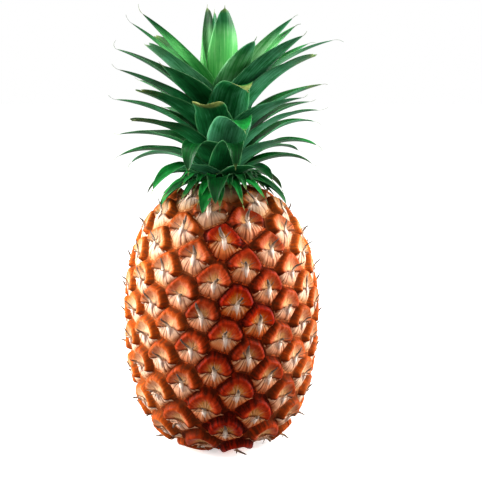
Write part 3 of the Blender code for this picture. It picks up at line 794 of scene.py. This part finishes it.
def leaf_mesh(name, line, offsets, growth, age, luck):
    """A leaf from its middle line and its five offsets a row, with the keel thick and the edges thin."""
    _, wide, whisker, curl, cut, dry = growth
    rows = len(line)
    along = np.linspace(0.0, 1.0, rows)
    shape = (1.0 - along) ** (SOLID_TAPER / wide)
    shape = shape * (1.0 + 0.5 * (wide - 1.0) * np.sin(math.pi * along) ** 0.6)
    if cut < 1.0:
        broken = (0.44 + 0.14 * dry) * np.sqrt(1.0 - (along * 0.985) ** 8)
        shape = np.maximum(shape, broken * ease(along / 0.6))
    across = np.linspace(-1.0, 1.0, LEAF_COLUMNS)
    basis = np.array([[np.prod([(a - b) / (c - b) for b in ACROSS_SOLID if b != c]) for c in ACROSS_SOLID]
                      for a in across])
    middle = line[:, None] + np.einsum("ck,rkx->rcx", basis, offsets * shape[:, None, None])
    if cut < 1.0:
        ahead = line[-1] - line[-4]
        ahead = ahead / np.linalg.norm(ahead)
        torn = luck.uniform(-1.6, 0.4, LEAF_COLUMNS) + 0.8 * np.sin(across * 7.0 + luck.uniform(0.0, 6.0))
        torn = torn * (0.6 + 0.4 * dry)
        for back, hold in enumerate((1.0, 0.7, 0.4, 0.15)):
            middle[-1 - back] += hold * torn[:, None] * ahead
    if whisker:
        step = line[-1] - line[-2]
        step = step / np.linalg.norm(step) * whisker / WHISKER_ROWS
        side = np.cross(step, (0.0, 0.0, 1.0))
        side = side / np.linalg.norm(side)
        turn = math.radians(curl) / WHISKER_ROWS
        added = [middle[-1]]
        for k in range(WHISKER_ROWS):
            step = step * math.cos(turn) + np.cross(side, step) * math.sin(turn)
            width = WHISKER_HALF * (1.0 - (k + 1.0) / WHISKER_ROWS) ** 0.7
            added.append(added[-1].mean(axis=0) + step + side * (across * width)[:, None])
        for back, hold in enumerate((1.0, 0.8, 0.5, 0.25)):
            middle[-1 - back] = middle[-1 - back] + side * (across * WHISKER_HALF * hold)[:, None]
        middle = np.concatenate([middle, np.array(added[1:])])
        along = np.concatenate([along, np.full(WHISKER_ROWS, 1.0)])
        rows += WHISKER_ROWS
    down_leaf = np.gradient(middle, axis=0)
    over_leaf = np.gradient(middle, axis=1)
    facing = np.cross(over_leaf, down_leaf)
    size = np.linalg.norm(facing, axis=2)[:, :, None]
    facing = np.where(size > 1e-6, facing / np.maximum(size, 1e-9), 0.0)
    for row in range(1, rows):
        weak = size[row, :, 0] <= 1e-6
        facing[row, weak] = facing[row - 1, weak]
    wave = 0.5 * np.sin(along * luck.uniform(9.0, 16.0) + luck.uniform(0.0, 6.0))
    wave = wave[:, None] * across[None] ** 3
    middle = middle + facing * (wave * (np.sin(math.pi * along) ** 2)[:, None])[:, :, None]
    keel = (1.0 - across**2) * (1.0 - 0.6 * along)[:, None]
    thick = (LEAF_EDGE + (LEAF_THICKNESS - LEAF_EDGE) * keel) * np.clip(1.25 - along, 0.3, 1.0)[:, None]
    half = np.linalg.norm(over_leaf, axis=2).sum(axis=1) / 2.0
    points = np.concatenate([(middle - facing * 0.5 * thick[:, :, None]).reshape(-1, 3),
                             (middle + facing * 0.5 * thick[:, :, None]).reshape(-1, 3)])
    place = np.stack([np.broadcast_to(across, (rows, LEAF_COLUMNS)),
                      np.broadcast_to(along[:, None], (rows, LEAF_COLUMNS)),
                      across[None] * half[:, None]], axis=-1).reshape(-1, 3)
    dead = dry * ease((place[:, 1] - 0.8) / 0.08)
    dead = dead + (1.0 - dry) * 0.6 * ease((place[:, 1] - 0.965) / 0.03)
    layers = {
        "leaf_place": np.concatenate([place, place]),
        "leaf_youth": np.full(len(points), 1.0 - age),
        "leaf_tone": np.full(len(points), luck.random()),
        "leaf_under": np.concatenate([np.zeros(len(place)), np.ones(len(place))]),
        "leaf_dead": np.concatenate([dead, dead]),
    }
    grid = np.arange(2 * rows * LEAF_COLUMNS).reshape(2, rows, LEAF_COLUMNS)
    leaf = add_piece(name, points, sheet_faces(grid), layers)
    leaf.data.materials.append(leaf_skin)
    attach(leaf, "root")
    return leaf


def add_leaf(number):
    """One crown leaf, grown through the middle of its frame solid."""
    rows, tip = middle_surface(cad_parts["leaf_%02d" % number])
    growth = LEAF_GROWTH.get(number, USUAL_GROWTH)
    knots = np.arange(SOLID_ROWS + 1) / SOLID_ROWS
    along = np.linspace(0.0, 1.0, LEAF_ROWS) * growth[4]
    line = smooth_curve(knots, np.concatenate([rows[:, 2], tip[None]]), along)
    offsets = (rows - rows[:, 2:3]) / ((1.0 - knots[:-1]) ** SOLID_TAPER)[:, None, None]
    offsets = smooth_curve(knots, np.concatenate([offsets, offsets[-1:]]), along)
    side = np.array([-tip[1], tip[0], 0.0])
    line, offsets = bowed(line, offsets, side / np.linalg.norm(side), growth[0])
    age = 1.0 - (number - 1.0) / (CROWN_LEAVES - 1.0)
    luck = np.random.default_rng(100 + number)
    leaf = leaf_mesh("crown_leaf_%02d" % number, line, offsets, growth, age, luck)
    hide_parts("leaf_%02d" % number)


# Living pineapple leaf, thick and waxy: deep emerald above and a greyer, paler green beneath, with
# fine veins 0.8 mm apart, a thin pale margin and a dry olive-brown tip. The tender inner leaves are
# light green with dark ends, partly their own paler colour and partly painted light standing in for
# light shining through them. The wax gives a satin sheen.
VEIN_SPACING = 0.8
leaf_skin, tree, shader = start_material("waxy_pineapple_leaf", 0.42, 1.45)
shader.inputs["Specular IOR Level"].default_value = 0.16
place, youth, tone, under, dead = (
    add_node(tree, "ShaderNodeAttribute", attribute_name=layer)
    for layer in ("leaf_place", "leaf_youth", "leaf_tone", "leaf_under", "leaf_dead"))
axes = add_node(tree, "ShaderNodeSeparateXYZ", {0: place.outputs["Vector"]})
spot = add_node(tree, "ShaderNodeTexCoord")
# Veins run the leaf's length, so their pattern changes across it far faster than along it.
stretched = add_node(tree, "ShaderNodeMath", {0: axes.outputs[1], 1: 3.0}, operation="MULTIPLY")
stripe_place = add_node(tree, "ShaderNodeCombineXYZ", {
    0: axes.outputs[2], 1: stretched, 2: tone.outputs["Fac"]})
stripes = add_node(tree, "ShaderNodeTexNoise", {
    "Vector": stripe_place, "Scale": 1.0 / VEIN_SPACING, "Detail": 2.0})
bloom = add_node(tree, "ShaderNodeTexNoise", {"Vector": spot.outputs["Object"], "Scale": 90.0, "Detail": 5.0})
mixed = add_node(tree, "ShaderNodeMath", {0: stripes, 1: bloom}, operation="ADD")
own = add_node(tree, "ShaderNodeMath", {0: tone.outputs["Fac"], 1: 0.34, 2: -0.15}, operation="MULTIPLY_ADD")
level = add_node(tree, "ShaderNodeMath", {0: mixed, 1: 0.5, 2: own}, operation="MULTIPLY_ADD")
upper = add_node(tree, "ShaderNodeValToRGB", {"Fac": level}, stops=[
    (0.28, "#02280C"), (0.50, "#054E1A"), (0.72, "#1A8C36")])
lower = add_node(tree, "ShaderNodeValToRGB", {"Fac": level}, stops=[
    (0.28, "#043A18"), (0.50, "#15602F"), (0.72, "#4A946A")])
old = add_node(tree, "ShaderNodeMix", {0: under.outputs["Fac"], 6: upper, 7: lower}, data_type="RGBA")
# Partly painted light: the pale young green also stands in for light shining through the thin inner leaves.
young_backlit_green = add_node(tree, "ShaderNodeValToRGB", {"Fac": level}, stops=[
    (0.28, "#349846"), (0.50, "#64BE66"), (0.72, "#B0E8A4")])
newness = add_node(tree, "ShaderNodeMapRange", {
    "Value": youth.outputs["Fac"], "From Min": 0.74, "From Max": 0.95})
dark_end = add_node(tree, "ShaderNodeMapRange", {
    "Value": axes.outputs[1], "From Min": 0.7, "From Max": 0.88, "To Min": 1.0, "To Max": 0.0})
young_backlit_share = add_node(tree, "ShaderNodeMath", {0: newness, 1: dark_end}, operation="MULTIPLY")
green = add_node(tree, "ShaderNodeMix", {0: young_backlit_share, 6: old.outputs[2], 7: young_backlit_green}, data_type="RGBA")
edge = add_node(tree, "ShaderNodeMath", {0: axes.outputs[0]}, operation="ABSOLUTE")
margin = add_node(tree, "ShaderNodeMapRange", {
    "Value": edge, "From Min": 0.93, "From Max": 1.0, "To Max": 0.25})
edged = add_node(tree, "ShaderNodeMix", {
    0: margin, 6: green.outputs[2], 7: linear("#7DB478")}, data_type="RGBA")
withered = add_node(tree, "ShaderNodeValToRGB", {"Fac": bloom}, stops=[
    (0.35, "#4C5226"), (0.5, "#87904C"), (0.65, "#3E4820")])
whole = add_node(tree, "ShaderNodeMix", {
    0: dead.outputs["Fac"], 6: edged.outputs[2], 7: withered}, data_type="RGBA")
tree.links.new(whole.outputs[2], shader.inputs["Base Color"])
veins = add_node(tree, "ShaderNodeBump", {"Height": stripes, "Strength": 0.5, "Distance": 0.4 * MM})
tree.links.new(veins.outputs[0], shader.inputs["Normal"])

for number in range(1, CROWN_LEAVES + 1):
    add_leaf(number)

# ---- Crown foot -----------------------------------------------------------------------------------
# Short leaflets and scale leaves at the crown's foot, the first that the crown made. They grow from
# the seat all round, lie over the fruit's shoulder and have dry ends.
FOOT_LEAVES = 34
FOOT_TURN, FOOT_PHASE = 137.5, 40.0
FOOT_REACH = ((32.0, 40.0), (26.0, 31.0))   # how far out the long and the short ones end
FOOT_HALF = (3.4, 4.8)
FOOT_CHANNEL = 1.3      # how far the edges stand above the keel
FOOT_ROOT = (13.5, 165.5)
SHORT_ROOT_RISE = 1.5
FOOT_ROWS = 22
UP = np.array([0.0, 0.0, 1.0])
above_widest = side_height > WIDEST_HEIGHT
shoulder_radius = side_radius[above_widest][::-1]
shoulder_height = side_height[above_widest][::-1]

for number in range(FOOT_LEAVES):
    luck = np.random.default_rng(300 + number)
    azimuth = math.radians(FOOT_TURN * number + FOOT_PHASE)
    outward = np.array([math.cos(azimuth), math.sin(azimuth), 0.0])
    side = np.array([-math.sin(azimuth), math.cos(azimuth), 0.0])
    short = number % 2
    reach = luck.uniform(*FOOT_REACH[short])
    half = luck.uniform(*FOOT_HALF)
    rind_height = np.interp(reach, shoulder_radius, shoulder_height)
    end = np.array([reach, rind_height + luck.uniform(2.5, 6.0)])
    root = np.array([FOOT_ROOT[0], FOOT_ROOT[1] + SHORT_ROOT_RISE * short])
    first = root + np.array([8.0, luck.uniform(3.0, 7.0)])
    second = end + np.array([-7.0, luck.uniform(6.0, 9.0)])
    t = np.linspace(0.0, 1.0, FOOT_ROWS)[:, None]
    path = (1 - t)**3 * root + 3 * (1 - t)**2 * t * first + 3 * (1 - t) * t * t * second + t**3 * end
    line = path[:, :1] * outward + path[:, 1:] * UP
    ring = ACROSS_SOLID[:, None] * side * half + (ACROSS_SOLID[:, None] ** 2) * UP * FOOT_CHANNEL
    offsets = np.repeat(ring[None], len(t), axis=0)
    growth = (0, 1.2, 3.5, luck.uniform(-60, 60), 1, 0.6)
    leaf_mesh("crown_foot_leaf_%02d" % (number + 1), line, offsets, growth, 1.0, luck)

# ---- Table and lights -----------------------------------------------------------------------------
# A plain white tabletop in a white room that is dimmer at the front, with a large soft light on each
# side, the right one a little behind the fruit, a weaker one overhead and a faint one in front.
TABLE_HALF = 6.0
table = bpy.data.meshes.new("tabletop")
table.from_pydata([(x * TABLE_HALF, y * TABLE_HALF, 0.0) for x, y in ((-1, -1), (1, -1), (1, 1), (-1, 1))],
                  [], [(0, 1, 2, 3)])
tabletop = bpy.data.objects.new("tabletop", table)
bpy.context.scene.collection.objects.link(tabletop)
white_paint, tree, shader = start_material("matt_white_paint", 0.9, 1.5)
shader.inputs["Base Color"].default_value = linear("#F4F4F2")
shader.inputs["Emission Color"].default_value = (1.0, 1.0, 1.0, 1.0)
shader.inputs["Emission Strength"].default_value = 0.5
table.materials.append(white_paint)
tabletop.visible_diffuse = False
tabletop.visible_glossy = False

room = bpy.data.worlds.new("white_room")
room.use_nodes = True
tree = room.node_tree
seen = add_node(tree, "ShaderNodeLightPath")
way = add_node(tree, "ShaderNodeTexCoord")
slope = add_node(tree, "ShaderNodeVectorMath", {
    0: way.outputs["Generated"], 1: (-0.35, 0.75, 0.1)}, operation="DOT_PRODUCT")
glow = add_node(tree, "ShaderNodeMapRange", {
    "Value": slope.outputs["Value"], "From Min": -0.6, "From Max": 0.7, "To Min": 0.4, "To Max": 0.95})
walls = add_node(tree, "ShaderNodeMix", {0: seen.outputs["Is Camera Ray"], 2: glow, 3: 1.0})
tree.links.new(walls.outputs[0], tree.nodes["Background"].inputs["Strength"])
tree.nodes["Background"].inputs["Color"].default_value = (1.0, 1.0, 1.0, 1.0)
bpy.context.scene.world = room
bpy.context.scene.view_settings.view_transform = "Standard"

LIT_PLACE = (0.0, 0.0, 0.12)


def add_softbox(name, place, size, power):
    """A soft light turned towards the middle of the pineapple, its size in metres and power in watts."""
    lamp = bpy.data.lights.new(name, "AREA")
    lamp.shape = "RECTANGLE"
    lamp.size, lamp.size_y = size
    lamp.energy = power
    box = bpy.data.objects.new(name, lamp)
    box.location = place
    box.rotation_euler = (Vector(LIT_PLACE) - Vector(place)).to_track_quat("-Z", "Y").to_euler()
    box.visible_camera = False
    bpy.context.scene.collection.objects.link(box)


add_softbox("overhead_softbox", (0.0, 0.0, 1.1), (0.6, 0.6), 7.0)
add_softbox("left_softbox", (-0.8, 0.0, 0.35), (0.4, 0.7), 20.0)
add_softbox("right_softbox", (0.8, 0.1, 0.35), (0.4, 0.7), 18.0)
add_softbox("front_softbox", (-0.15, -0.9, 0.55), (0.6, 0.4), 1.5)
